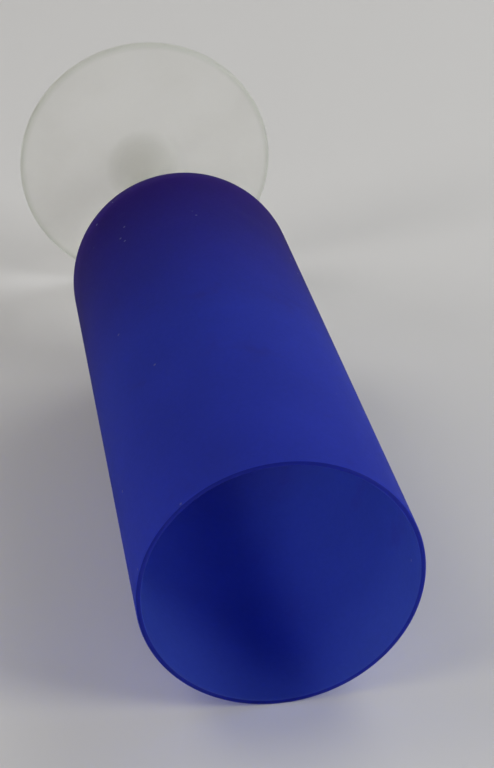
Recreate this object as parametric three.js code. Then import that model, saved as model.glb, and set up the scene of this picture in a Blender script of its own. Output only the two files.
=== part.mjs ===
// Stemmed glass with a tall straight-sided bowl of frosted cobalt-blue glass,
// carried on a slender clear frosted stem and a wide, low foot.
// Units are millimetres. +Z runs up the glass and the foot rests on z = 0.

import * as THREE from "three";

// Driving dimensions
const OVERALL_HEIGHT = 209;
const SEGMENTS = 48;

// Bowl: a tube with a rounded bottom that closes onto the stem
const BOWL_RADIUS = 27;
const BOWL_WALL = 1.1;
const BOWL_SIDE_LENGTH = 130;
const SHOULDER_RADIUS = 20.4;
const INNER_CORNER_RADIUS = 18;
const BOWL_FLOOR_THICKNESS = 4.3;

// Stem: a thin waist that flares to both joints
const STEM_WAIST_RADIUS = 3.9;
const UPPER_FLARE_HEIGHT = 15;

// Sweep: one concave curve from the foot's slope up to the waist, cut level where foot and stem join
const SWEEP_REACH = 8.1;
const SWEEP_HEIGHT = 14.8;
const SWEEP_TOP = 19;
const SWEEP_START = 267.5;
const FOOT_JOINT_HEIGHT = 6;

// Foot: a shallow cone with a rounded edge, hollowed underneath
const FOOT_RADIUS = 35.4;
const FOOT_EDGE_THICKNESS = 2.4;
const FOOT_BEAD_WIDTH = 1.2;
const FOOT_BEAD_START = -54;
const REST_RING_OUTER = 33.6;
const REST_RING_INNER = 26;
const UNDERSIDE_RISE = 1.6;

// Derived heights, radii and angles
const BOWL_BOTTOM = OVERALL_HEIGHT - BOWL_SIDE_LENGTH - SHOULDER_RADIUS;
const SHOULDER_TOP = BOWL_BOTTOM + SHOULDER_RADIUS;
const BOWL_INNER_RADIUS = BOWL_RADIUS - BOWL_WALL;
const BOWL_FLOOR = BOWL_BOTTOM + BOWL_FLOOR_THICKNESS;
const STEM_TOP_RADIUS = BOWL_RADIUS - SHOULDER_RADIUS;
const HOLLOW_RADIUS = (REST_RING_INNER ** 2 + UNDERSIDE_RISE ** 2) / (2 * UNDERSIDE_RISE);
const HOLLOW_ANGLE = THREE.MathUtils.radToDeg(Math.asin(REST_RING_INNER / HOLLOW_RADIUS));
const JOINT_DEPTH = (SWEEP_TOP - FOOT_JOINT_HEIGHT) / SWEEP_HEIGHT;
const JOINT_ANGLE = 180 + THREE.MathUtils.radToDeg(Math.asin(JOINT_DEPTH));

// Points of an elliptical arc about centre (r, z), end points included.
function arc(centreR, centreZ, radiusR, radiusZ, startDegrees, endDegrees, steps) {
  return Array.from({ length: steps + 1 }, (_, i) => {
    const degrees = startDegrees + ((endDegrees - startDegrees) * i) / steps;
    const angle = THREE.MathUtils.degToRad(degrees);
    return new THREE.Vector2(
      centreR + radiusR * Math.cos(angle),
      centreZ + radiusZ * Math.sin(angle),
    );
  });
}

function onAxis(z) {
  return new THREE.Vector2(0, z);
}

// A solid of revolution about Z. The outline runs outwards and upwards from the axis at its base.
function turned(name, outline, material) {
  const geometry = new THREE.LatheGeometry(outline, SEGMENTS);
  geometry.rotateX(Math.PI / 2);
  const mesh = new THREE.Mesh(geometry, material);
  mesh.name = name;
  return mesh;
}

function frostedGlass(color, roughness) {
  return new THREE.MeshStandardMaterial({ color, roughness, metalness: 0 });
}

function sweep(startDegrees, endDegrees, steps) {
  const centreR = STEM_WAIST_RADIUS + SWEEP_REACH;
  return arc(centreR, SWEEP_TOP, SWEEP_REACH, SWEEP_HEIGHT, startDegrees, endDegrees, steps);
}

// The foot's underside is a shallow hollow, so it stands on a flat ring near the edge.
// Its top slopes up from the rounded edge and runs smoothly into the stem.
function foot() {
  const beadRadius = FOOT_EDGE_THICKNESS / 2;
  const beadCentre = FOOT_RADIUS - FOOT_BEAD_WIDTH;
  const hollowCentre = UNDERSIDE_RISE - HOLLOW_RADIUS;
  const outline = [
    ...arc(0, hollowCentre, HOLLOW_RADIUS, HOLLOW_RADIUS, 90, 90 - HOLLOW_ANGLE, 4),
    new THREE.Vector2(REST_RING_OUTER, 0),
    ...arc(beadCentre, beadRadius, FOOT_BEAD_WIDTH, beadRadius, FOOT_BEAD_START, 90, 8),
    ...sweep(SWEEP_START, JOINT_ANGLE, 5),
    onAxis(FOOT_JOINT_HEIGHT),
  ];
  return turned("foot", outline, frostedGlass(0xd5d6d2, 0.55));
}

// The stem rises from the foot's sweep to its waist and flares out again under the bowl.
function stem() {
  const upperReach = STEM_TOP_RADIUS - STEM_WAIST_RADIUS;
  const upperBottom = BOWL_BOTTOM - UPPER_FLARE_HEIGHT;
  const outline = [
    onAxis(FOOT_JOINT_HEIGHT),
    ...sweep(JOINT_ANGLE, 180, 7),
    ...arc(STEM_TOP_RADIUS, upperBottom, upperReach, UPPER_FLARE_HEIGHT, 180, 90, 7),
    onAxis(BOWL_BOTTOM),
  ];
  return turned("stem", outline, frostedGlass(0xcfd1cf, 0.55));
}

// The wall is even along the side and thickens into the bottom. The lip is fire-polished round.
function bowl() {
  const lipRadius = BOWL_WALL / 2;
  const lipCentre = BOWL_RADIUS - lipRadius;
  const lipBase = OVERALL_HEIGHT - lipRadius;
  const cornerCentre = BOWL_INNER_RADIUS - INNER_CORNER_RADIUS;
  const cornerBase = BOWL_FLOOR + INNER_CORNER_RADIUS;
  const outline = [
    onAxis(BOWL_BOTTOM),
    ...arc(STEM_TOP_RADIUS, SHOULDER_TOP, SHOULDER_RADIUS, SHOULDER_RADIUS, -90, 0, 12),
    ...arc(lipCentre, lipBase, lipRadius, lipRadius, 0, 180, 6),
    ...arc(cornerCentre, cornerBase, INNER_CORNER_RADIUS, INNER_CORNER_RADIUS, 0, -90, 10),
    onAxis(BOWL_FLOOR),
  ];
  return turned("bowl", outline, frostedGlass(0x24308f, 0.5));
}

const glass = new THREE.Group();
glass.add(foot(), stem(), bowl());

export default glass;
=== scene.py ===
"""A tall stemmed glass, frosted cobalt-blue bowl on a frosted clear stem and foot, lying on a pale table.

The CAD frame stands the glass upright on z = 0. The scene lays a table along its side instead of turning the
glass: the table plane touches the foot's edge and the mouth's rim. The backdrop, camera and lights are placed
from that plane.
"""

import math

import bpy
from mathutils import Matrix, Vector


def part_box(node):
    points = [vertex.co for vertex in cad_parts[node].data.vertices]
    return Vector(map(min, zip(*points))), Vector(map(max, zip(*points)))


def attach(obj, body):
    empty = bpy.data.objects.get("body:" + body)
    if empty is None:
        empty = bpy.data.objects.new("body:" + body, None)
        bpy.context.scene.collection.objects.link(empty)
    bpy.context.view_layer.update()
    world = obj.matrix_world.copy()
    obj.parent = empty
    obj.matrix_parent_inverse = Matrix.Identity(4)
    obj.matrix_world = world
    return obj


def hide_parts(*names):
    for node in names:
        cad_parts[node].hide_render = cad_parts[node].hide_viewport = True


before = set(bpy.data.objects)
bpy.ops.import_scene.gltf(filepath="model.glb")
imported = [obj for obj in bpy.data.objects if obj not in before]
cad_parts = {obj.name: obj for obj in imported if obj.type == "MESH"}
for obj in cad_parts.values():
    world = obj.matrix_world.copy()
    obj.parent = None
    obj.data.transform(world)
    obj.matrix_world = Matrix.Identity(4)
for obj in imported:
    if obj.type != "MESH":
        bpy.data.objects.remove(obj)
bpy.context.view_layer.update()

MM = 0.001

# Where the CAD nodes are, in metres
bowl_low, bowl_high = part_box("bowl")
stem_low, stem_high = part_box("stem")
foot_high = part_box("foot")[1]
BOWL_RADIUS = bowl_high.x
FOOT_RADIUS = foot_high.x
HEIGHT = bowl_high.z

# Glass thicknesses and outlines that the boxes don't give
WALL = 1.1 * MM
SHOULDER_RADIUS = 20.4 * MM
CORNER_RADIUS = 18.0 * MM
FLOOR_THICKNESS = 4.3 * MM
WAIST_RADIUS = 3.9 * MM
UPPER_FLARE = 15.0 * MM
SWEEP_REACH = 8.1 * MM
SWEEP_HEIGHT = 14.8 * MM
SWEEP_TOP = 19.0 * MM
SWEEP_START = 267.5
EDGE_THICKNESS = 2.4 * MM
BEAD_WIDTH = 1.2 * MM
BEAD_START = -54
REST_RING_OUTER = 33.6 * MM
REST_RING_INNER = 26.0 * MM
UNDERSIDE_RISE = 1.6 * MM

# Faces around each lathed piece, and how close to a joint's height a face counts as lying on it
AROUND = 192
SEAM_TOLERANCE = 0.001 * MM

# The frosting runs over the lip's two sides and leaves its crest, where the normal's z is above this
CREST_SLOPE = 0.75

# Blue glass: colours at the closed end and towards the mouth, the height where it is palest, and its grain.
# The darker closed end is partly the thicker glass there and partly painted shade, for the dimmer light deep
# in the bowl.
OUTSIDE_DEEP = (0.052, 0.022, 0.29)
OUTSIDE_PALE = (0.066, 0.104, 0.70)
# The inside's own blues and extra green are painted shading and a painted teal sheen of the bowl's interior,
# on the same glass as the outside.
INSIDE_DEEP = (0.075, 0.080, 0.42)
INSIDE_PALE = (0.075, 0.142, 0.55)
# The lip's darker blue is partly the deeper tint of glass seen lengthwise and partly painted shade of the
# lip's unlit arcs.
LIP_DEEP = (0.022, 0.030, 0.34)
LIP_PALE = (0.022, 0.034, 0.36)
PALE_HEIGHT = bowl_low.z + 4.4 * SHOULDER_RADIUS
BLUE_TRANSMISSION = 0.75
FROSTED_GRAIN = 0.010 * MM
POLISHED_GRAIN = 0.001 * MM

# Clear glass: the body's two tones, the thick core near the stem and the foot's edge. The core's darker tone
# is partly the thick glass and partly painted shade where the stem meets the foot.
CLEAR_DULL = (0.915, 0.910, 0.882)
CLEAR_BRIGHT = (0.968, 0.964, 0.940)
CLEAR_CORE = (0.73, 0.73, 0.69)
CLEAR_EDGE = (0.79, 0.81, 0.75)
CLEAR_INDEX = 1.5
CLEAR_SPECULAR = 0.25
CLEAR_TRANSMISSION = 0.62
EDGE_TINT_START = FOOT_RADIUS - 1.8 * MM
EDGE_TINT_END = FOOT_RADIUS - 0.4 * MM

# Patterns in the frosting, as noise scales per metre
BLOTCHES = 60
PATCHES = 70
ROUGH_PATCHES = 900
FROSTING = 1100
CLEAR_GRAIN = 3500
BLUE_GRAIN = 4000
GRAIN_STRENGTH = 0.5
ROUGHNESS_SPREAD = 0.03

# Wear on the glass
DUST = (0.40, 0.42, 0.60)
DUST_CELLS_PER_METRE = 260
DUST_SHARE = 0.07
SMUDGE = (0.075, 0.060, 0.36)
SMUDGE_STRENGTH = 0.3

# How the glass lies and how it is seen
UPPER_SIDE_AZIMUTH = math.radians(-45)
CAMERA_BEFORE_MOUTH = 0.2692
CAMERA_ABOVE_MOUTH = 0.1773
CAMERA_TO_SIDE = -0.0064
CAMERA_PITCH = math.radians(26.8)
CAMERA_HEADING = math.radians(9.77)
LENS_MM = 82.3

# Studio set and lamps
STAGE_HALF = 1.5
BACKDROP_DISTANCE = 1.1
BACKDROP_HEIGHT = 0.9
SOFTBOX_DISTANCE = 1.4
SOFTBOX_HEIGHT = 0.7
SOFTBOX_AIM = (0, 0.08, 0.02)
DAYLIGHT = (0.99, 1.0, 1.0)
WARM_LIGHT = (1.0, 0.97, 0.93)
SET_COLOUR = (0.76, 0.755, 0.75)
WORLD_LIGHT = (1.0, 0.98, 0.96)
WORLD_STRENGTH = 0.05
WORLD_SEEN = (0.52, 0.52, 0.515)


# ---------------------------------------------------------------- outlines

def arc(centre, radii, start, end, steps):
    """Points (r, z) of an elliptical arc, in degrees, both ends included."""
    points = []
    for i in range(steps + 1):
        angle = math.radians(start + (end - start) * i / steps)
        points.append((centre[0] + radii[0] * math.cos(angle), centre[1] + radii[1] * math.sin(angle)))
    return points


def line(start, end, steps):
    """Points after start up to end, so that long straight stretches have even faces."""
    return [
        (start[0] + (end[0] - start[0]) * i / steps, start[1] + (end[1] - start[1]) * i / steps)
        for i in range(1, steps + 1)
    ]


def bowl_outline():
    low, side = bowl_low.z, bowl_low.z + SHOULDER_RADIUS
    lip = WALL / 2
    inner = BOWL_RADIUS - WALL
    floor = low + FLOOR_THICKNESS
    corner_top = floor + CORNER_RADIUS
    rounding = arc((BOWL_RADIUS - SHOULDER_RADIUS, side), (SHOULDER_RADIUS,) * 2, -90, 0, 28)
    wall = line((BOWL_RADIUS, side), (BOWL_RADIUS, HEIGHT - lip), 40)
    rim = arc((BOWL_RADIUS - lip, HEIGHT - lip), (lip, lip), 0, 180, 12)[1:]
    inside = line((inner, HEIGHT - lip), (inner, corner_top), 40)
    hollow = arc((inner - CORNER_RADIUS, corner_top), (CORNER_RADIUS,) * 2, 0, -90, 24)[1:]
    return [(0, low)] + rounding + wall + rim + inside + hollow + [(0, floor)]


def sweep(start, end, steps):
    """The concave curve that runs from the foot's slope up to the stem's waist."""
    centre = (WAIST_RADIUS + SWEEP_REACH, SWEEP_TOP)
    return arc(centre, (SWEEP_REACH, SWEEP_HEIGHT), start, end, steps)


def joint_angle():
    """Where the sweep crosses the level joint of the foot and the stem."""
    return 180 + math.degrees(math.asin((SWEEP_TOP - stem_low.z) / SWEEP_HEIGHT))


def stem_outline():
    low, high = stem_low.z, stem_high.z
    top_reach = BOWL_RADIUS - SHOULDER_RADIUS
    upper_bottom = high - UPPER_FLARE
    lower = sweep(joint_angle(), 180, 72)
    waist = line((WAIST_RADIUS, SWEEP_TOP), (WAIST_RADIUS, upper_bottom), 12)
    upper = arc((top_reach, upper_bottom), (top_reach - WAIST_RADIUS, UPPER_FLARE), 180, 90, 20)[1:]
    return [(0, low)] + lower + waist + upper + [(0, high)]


def foot_outline():
    hub = foot_high.z
    half = EDGE_THICKNESS / 2
    hollow_radius = (REST_RING_INNER ** 2 + UNDERSIDE_RISE ** 2) / (2 * UNDERSIDE_RISE)
    hollow_angle = math.degrees(math.asin(REST_RING_INNER / hollow_radius))
    hollow_centre = (0, UNDERSIDE_RISE - hollow_radius)
    under = arc(hollow_centre, (hollow_radius,) * 2, 90, 90 - hollow_angle, 12)
    ring = line((REST_RING_INNER, 0), (REST_RING_OUTER, 0), 4)
    bead = arc((FOOT_RADIUS - BEAD_WIDTH, half), (BEAD_WIDTH, half), BEAD_START, 90, 14)
    rise = sweep(SWEEP_START, joint_angle(), 36)
    top = line(bead[-1], rise[0], 16)
    return under + ring + bead + top + rise[1:] + [(0, hub)]


# ---------------------------------------------------------------- mesh work

def lathe(name, outline):
    """A closed body of revolution about Z from an outline that starts and ends on the axis."""
    verts = [(0.0, 0.0, outline[0][1])]
    rings = outline[1:-1]
    for r, z in rings:
        for k in range(AROUND):
            turn = 2 * math.pi * k / AROUND
            verts.append((r * math.cos(turn), r * math.sin(turn), z))
    verts.append((0.0, 0.0, outline[-1][1]))
    last = len(verts) - 1
    faces = []
    for k in range(AROUND):
        after = (k + 1) % AROUND
        faces.append((0, 1 + after, 1 + k))
        for i in range(len(rings) - 1):
            a, b = 1 + i * AROUND, 1 + (i + 1) * AROUND
            faces.append((a + k, a + after, b + after, b + k))
        top = 1 + (len(rings) - 1) * AROUND
        faces.append((top + k, top + after, last))
    mesh = bpy.data.meshes.new(name)
    mesh.from_pydata(verts, [], faces)
    mesh.shade_smooth()
    mesh.validate()
    piece = bpy.data.objects.new(name, mesh)
    bpy.context.scene.collection.objects.link(piece)
    return piece


# ---------------------------------------------------------------- materials

class Nodes:
    """Short calls for building one material's node tree."""

    def __init__(self, name):
        self.material = bpy.data.materials.new(name)
        self.material.use_nodes = True
        self.tree = self.material.node_tree
        self.shader = self.tree.nodes["Principled BSDF"]
        self.output = self.tree.nodes["Material Output"]
        self.place = self.add("ShaderNodeTexCoord").outputs["Object"]

    def add(self, kind, **settings):
        node = self.tree.nodes.new(kind)
        for key, value in settings.items():
            setattr(node, key, value)
        return node

    def link(self, source, target):
        self.tree.links.new(source, target)

    def noise(self, scale, detail=4.0, roughness=0.5):
        node = self.add("ShaderNodeTexNoise")
        self.link(self.place, node.inputs["Vector"])
        node.inputs["Scale"].default_value = scale
        node.inputs["Detail"].default_value = detail
        node.inputs["Roughness"].default_value = roughness
        return node.outputs["Fac"]

    def dust(self):
        """1 on a few specks about half a millimetre across, and 0 elsewhere."""
        cells = self.add("ShaderNodeTexVoronoi")
        self.link(self.place, cells.inputs["Vector"])
        cells.inputs["Scale"].default_value = DUST_CELLS_PER_METRE
        speck = self.ramp(cells.outputs["Distance"], 0.09, 0.06)
        pick = self.add("ShaderNodeSeparateXYZ")
        self.link(cells.outputs["Color"], pick.inputs[0])
        chosen = self.add("ShaderNodeMath", operation="GREATER_THAN")
        self.link(pick.outputs["X"], chosen.inputs[0])
        chosen.inputs[1].default_value = 1 - DUST_SHARE
        both = self.add("ShaderNodeMath", operation="MULTIPLY")
        self.link(speck, both.inputs[0])
        self.link(chosen.outputs["Value"], both.inputs[1])
        return both.outputs["Value"]

    def radius(self):
        """Distance from the glass's axis."""
        node = self.add("ShaderNodeVectorMath", operation="MULTIPLY")
        self.link(self.place, node.inputs[0])
        node.inputs[1].default_value = (1, 1, 0)
        length = self.add("ShaderNodeVectorMath", operation="LENGTH")
        self.link(node.outputs["Vector"], length.inputs[0])
        return length.outputs["Value"]

    def height(self):
        """Height above the foot's resting plane."""
        node = self.add("ShaderNodeSeparateXYZ")
        self.link(self.place, node.inputs[0])
        return node.outputs["Z"]

    def shade(self, colour, factor):
        """The colour made darker by a factor under 1."""
        node = self.add("ShaderNodeVectorMath", operation="SCALE")
        self.link(colour, node.inputs[0])
        self.link(factor, node.inputs["Scale"])
        return node.outputs["Vector"]

    def ramp(self, source, low, high, from_value=0.0, to_value=1.0):
        node = self.add("ShaderNodeMapRange")
        self.link(source, node.inputs["Value"])
        node.inputs["From Min"].default_value = low
        node.inputs["From Max"].default_value = high
        node.inputs["To Min"].default_value = from_value
        node.inputs["To Max"].default_value = to_value
        return node.outputs["Result"]

    def mix(self, factor, first, second):
        """A colour between first and second; either may be a socket or a colour."""
        node = self.add("ShaderNodeMix", data_type="RGBA")
        self.link(factor, node.inputs[0])
        for socket, value in ((node.inputs[6], first), (node.inputs[7], second)):
            if isinstance(value, tuple):
                socket.default_value = (*value, 1)
            else:
                self.link(value, socket)
        return node.outputs[2]

    def bump(self, height, distance):
        node = self.add("ShaderNodeBump")
        self.link(height, node.inputs["Height"])
        node.inputs["Distance"].default_value = distance
        node.inputs["Strength"].default_value = GRAIN_STRENGTH
        return node.outputs["Normal"]


def blue_glass(name, deep, pale, roughness, index, grain):
    """Satin cobalt glass, whose colour deepens towards the bowl's closed end: partly for the thicker glass
    there and partly as painted shade, for the dimmer light deep in the bowl.

    The index is far below real glass's 1.5, which keeps a grey sheen off the frosted sides.
    """
    n = Nodes(name)
    # Painted shade: the blue darkens towards the closed end, partly for the thicker glass and partly for the
    # dimmer light deep in the bowl.
    paleness = n.ramp(n.height(), bowl_low.z + SHOULDER_RADIUS, PALE_HEIGHT)
    blotches = n.ramp(n.noise(BLOTCHES), 0.35, 0.65, 0.94, 1.0)
    frosting = n.ramp(n.noise(FROSTING, 2), 0.3, 0.7, 0.94, 1.0)
    colour = n.shade(n.shade(n.mix(paleness, deep, pale), blotches), frosting)
    handled = n.ramp(n.noise(PATCHES, 3, 0.6), 0.62, 0.75, 0.0, SMUDGE_STRENGTH)
    colour = n.mix(n.dust(), n.mix(handled, colour, SMUDGE), DUST)
    smooth, rough = roughness - ROUGHNESS_SPREAD, roughness + ROUGHNESS_SPREAD
    n.link(colour, n.shader.inputs["Base Color"])
    n.link(n.ramp(n.noise(ROUGH_PATCHES), 0.3, 0.7, smooth, rough), n.shader.inputs["Roughness"])
    n.shader.inputs["IOR"].default_value = index
    n.shader.inputs["Transmission Weight"].default_value = BLUE_TRANSMISSION
    n.link(n.bump(n.noise(BLUE_GRAIN, 2), grain), n.shader.inputs["Normal"])
    return n.material


def blue_outside():
    colours = (OUTSIDE_DEEP, OUTSIDE_PALE)
    return blue_glass("blue_frosted_outside", *colours, roughness=0.65, index=1.10, grain=FROSTED_GRAIN)


def blue_inside():
    # Painted shading and a painted teal sheen of the interior, on the same glass as the outside.
    colours = (INSIDE_DEEP, INSIDE_PALE)
    return blue_glass("blue_frosted_inside", *colours, roughness=0.60, index=1.18, grain=FROSTED_GRAIN)


def blue_lip():
    """The lip's crest is fire-polished, so it is smoother than the walls. Its darker blue is partly the
    deeper tint of glass seen lengthwise and partly painted shade of the lip's unlit arcs.
    """
    colours = (LIP_DEEP, LIP_PALE)
    return blue_glass("blue_polished_lip", *colours, roughness=0.40, index=1.15, grain=POLISHED_GRAIN)


def clear_frosted_glass():
    """Satin clear glass, darker in its thick core, partly for the thick glass and partly as painted shade
    where the stem meets the foot, and darker and greener at the foot's edge.
    """
    n = Nodes("clear_frosted_glass")
    body = n.mix(n.ramp(n.noise(PATCHES), 0.35, 0.65), CLEAR_DULL, CLEAR_BRIGHT)
    edge = n.ramp(n.radius(), EDGE_TINT_START, EDGE_TINT_END)
    # Painted shade: darker towards the axis, partly for the thick glass and partly for the shade where the
    # stem meets the foot.
    core = n.ramp(n.radius(), SWEEP_REACH + WAIST_RADIUS, WAIST_RADIUS)
    colour = n.mix(edge, n.mix(core, body, CLEAR_CORE), CLEAR_EDGE)
    n.link(colour, n.shader.inputs["Base Color"])
    n.link(n.ramp(n.noise(ROUGH_PATCHES), 0.3, 0.7, 0.50, 0.60), n.shader.inputs["Roughness"])
    n.shader.inputs["IOR"].default_value = CLEAR_INDEX
    n.shader.inputs["Transmission Weight"].default_value = CLEAR_TRANSMISSION
    n.shader.inputs["Specular IOR Level"].default_value = CLEAR_SPECULAR
    n.link(n.bump(n.noise(CLEAR_GRAIN, 2), FROSTED_GRAIN), n.shader.inputs["Normal"])
    return n.material


def fused_joint():
    """The seam where two pieces are melted together, which can't be seen inside the glass."""
    n = Nodes("fused_joint")
    n.shader.inputs["Alpha"].default_value = 0.0
    return n.material


def set_surface():
    """Pale and plain, for the table and the backdrop. It is one-sided, so that views from behind them still
    show the glass."""
    n = Nodes("set_surface")
    n.tree.nodes.remove(n.shader)
    pale = n.add("ShaderNodeBsdfDiffuse")
    pale.inputs["Color"].default_value = (*SET_COLOUR, 1)
    clear = n.add("ShaderNodeBsdfTransparent")
    side = n.add("ShaderNodeNewGeometry")
    chosen = n.add("ShaderNodeMixShader")
    n.link(side.outputs["Backfacing"], chosen.inputs["Fac"])
    n.link(pale.outputs["BSDF"], chosen.inputs[1])
    n.link(clear.outputs["BSDF"], chosen.inputs[2])
    n.link(chosen.outputs["Shader"], n.output.inputs["Surface"])
    return n.material


# ---------------------------------------------------------------- the lying frame

AXIS = Vector((0, 0, 1))
MOUTH = Vector((0, 0, HEIGHT - WALL / 2))
FOOT_EDGE = Vector((0, 0, EDGE_THICKNESS / 2))


def lying_axes():
    """The table's right, forward and up directions, forward being the way the camera heads."""
    upper = Vector((math.cos(UPPER_SIDE_AZIMUTH), math.sin(UPPER_SIDE_AZIMUTH), 0))
    tilt = math.atan2(FOOT_RADIUS - BOWL_RADIUS, (MOUTH - FOOT_EDGE).length)
    up = upper * math.cos(tilt) - AXIS * math.sin(tilt)
    along = (-AXIS - up * (-AXIS).dot(up)).normalized()
    forward = Matrix.Rotation(-CAMERA_HEADING, 3, up) @ along
    return forward.cross(up), forward, up, upper


RIGHT, FORWARD, UP, UPPER = lying_axes()
CONTACT = MOUTH - UPPER * BOWL_RADIUS


def on_table(right, forward, up):
    """A place given from the point where the mouth's rim touches the table."""
    return CONTACT + RIGHT * right + FORWARD * forward + UP * up


def turned(right, up, back, place):
    """A matrix whose X, Y and Z axes are the three directions."""
    matrix = Matrix((right, up, back)).transposed().to_4x4()
    matrix.translation = place
    return matrix


# ---------------------------------------------------------------- camera, set and lights

def make_camera():
    data = bpy.data.cameras.new("camera")
    data.lens = LENS_MM
    camera = bpy.data.objects.new("camera", data)
    look = FORWARD * math.cos(CAMERA_PITCH) - UP * math.sin(CAMERA_PITCH)
    above = UP * math.cos(CAMERA_PITCH) + FORWARD * math.sin(CAMERA_PITCH)
    place = MOUTH + RIGHT * CAMERA_TO_SIDE - FORWARD * CAMERA_BEFORE_MOUTH + UP * CAMERA_ABOVE_MOUTH
    camera.matrix_world = turned(RIGHT, above, -look, place)
    bpy.context.scene.collection.objects.link(camera)
    bpy.context.scene.camera = camera


def make_sheet(name, corners, material):
    """A flat piece of the set. Its front is the side from which the corners run anticlockwise."""
    mesh = bpy.data.meshes.new(name)
    mesh.from_pydata(corners, [], [(0, 1, 2, 3)])
    mesh.materials.append(material)
    sheet = bpy.data.objects.new(name, mesh)
    bpy.context.scene.collection.objects.link(sheet)


def make_set():
    material = set_surface()
    side, far, high = STAGE_HALF, BACKDROP_DISTANCE, BACKDROP_HEIGHT
    table = [on_table(x, y, 0) for x, y in ((-side, -side), (side, -side), (side, far), (-side, far))]
    backdrop = [on_table(x, far, z) for x, z in ((-side, 0), (side, 0), (side, high), (-side, high))]
    make_sheet("table", table, material)
    make_sheet("backdrop", backdrop, material)


def facing(direction):
    """Right, up and back directions of a lamp that shines in a direction and is level with the table."""
    back = -direction.normalized()
    right = UP.cross(back).normalized()
    return right, back.cross(right), back


def softbox(name, azimuth, elevation, width, power, colour):
    """A lamp at a bearing round the glass: 0 is on the camera's side and 90 is on its right, in degrees."""
    aim = on_table(*SOFTBOX_AIM)
    round_by, raised = math.radians(azimuth), math.radians(elevation)
    level = RIGHT * math.sin(round_by) - FORWARD * math.cos(round_by)
    place = aim + (level * math.cos(raised) + UP * math.sin(raised)) * SOFTBOX_DISTANCE
    data = bpy.data.lights.new(name, "AREA")
    data.shape = "RECTANGLE"
    data.size = width
    data.size_y = SOFTBOX_HEIGHT
    data.energy = power
    data.color = colour
    lamp = bpy.data.objects.new(name, data)
    lamp.matrix_world = turned(*facing(aim - place), place)
    lamp.visible_camera = False
    bpy.context.scene.collection.objects.link(lamp)


def make_lights():
    """Each softbox has a bearing and an elevation in degrees, a width in metres and a power in watts."""
    softbox("softbox_right", 70, 22, 0.6, 9.4, DAYLIGHT)
    softbox("softbox_left", -60, 24, 0.5, 4.6, WARM_LIGHT)
    softbox("softbox_upper_left", -110, 50, 0.7, 3.5, WARM_LIGHT)
    softbox("softbox_back", 135, 45, 1.0, 5.4, DAYLIGHT)
    softbox("softbox_front", 0, 30, 0.8, 2.0, DAYLIGHT)


def make_world():
    """Dim as a lamp, so that the shadows stay, but pale where it is seen past the set's edges or in glass."""
    world = bpy.data.worlds.new("studio")
    world.use_nodes = True
    tree = world.node_tree
    dim = tree.nodes["Background"]
    dim.inputs["Color"].default_value = (*WORLD_LIGHT, 1)
    dim.inputs["Strength"].default_value = WORLD_STRENGTH
    pale = tree.nodes.new("ShaderNodeBackground")
    pale.inputs["Color"].default_value = (*WORLD_SEEN, 1)
    path = tree.nodes.new("ShaderNodeLightPath")
    seen = tree.nodes.new("ShaderNodeMath")
    seen.operation = "MAXIMUM"
    chosen = tree.nodes.new("ShaderNodeMixShader")
    tree.links.new(path.outputs["Is Camera Ray"], seen.inputs[0])
    tree.links.new(path.outputs["Is Transmission Ray"], seen.inputs[1])
    tree.links.new(seen.outputs["Value"], chosen.inputs["Fac"])
    tree.links.new(dim.outputs["Background"], chosen.inputs[1])
    tree.links.new(pale.outputs["Background"], chosen.inputs[2])
    tree.links.new(chosen.outputs["Shader"], tree.nodes["World Output"].inputs["Surface"])
    bpy.context.scene.world = world


# ---------------------------------------------------------------- the glass

def make_piece(name, outline, node, finish, seam):
    """A piece whose faces take their material from finish(face). Its fused ends, whose material is seam, are
    shaded flat, so that the glass beside them keeps its own curve."""
    piece = lathe(name, outline)
    materials = []
    for face in piece.data.polygons:
        material = finish(face)
        if material not in materials:
            materials.append(material)
            piece.data.materials.append(material)
        face.material_index = materials.index(material)
        face.use_smooth = material is not seam
    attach(piece, "root")
    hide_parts(node)


def at_seam(face, height):
    """Whether a face lies flat at a height where two pieces are melted together."""
    return abs(face.center.z - height) < SEAM_TOLERANCE and abs(face.normal.z) > 0.99


def make_bowl(seam):
    outside, inside, lip = blue_outside(), blue_inside(), blue_lip()

    def finish(face):
        outward = face.center.x * face.normal.x + face.center.y * face.normal.y
        if at_seam(face, bowl_low.z):
            return seam
        if face.center.z > HEIGHT - WALL / 2 and face.normal.z > CREST_SLOPE:
            return lip
        return outside if outward > 0 or face.normal.z < -0.5 else inside

    make_piece("blue_bowl", bowl_outline(), "bowl", finish, seam)


def make_clear_pieces(seam):
    clear = clear_frosted_glass()

    def finish(face):
        joined = at_seam(face, stem_low.z) or at_seam(face, stem_high.z)
        return seam if joined else clear

    make_piece("clear_stem", stem_outline(), "stem", finish, seam)
    make_piece("clear_foot", foot_outline(), "foot", finish, seam)


bpy.context.scene.view_settings.view_transform = "Standard"
make_camera()
make_set()
make_lights()
make_world()
seam = fused_joint()
make_bowl(seam)
make_clear_pieces(seam)
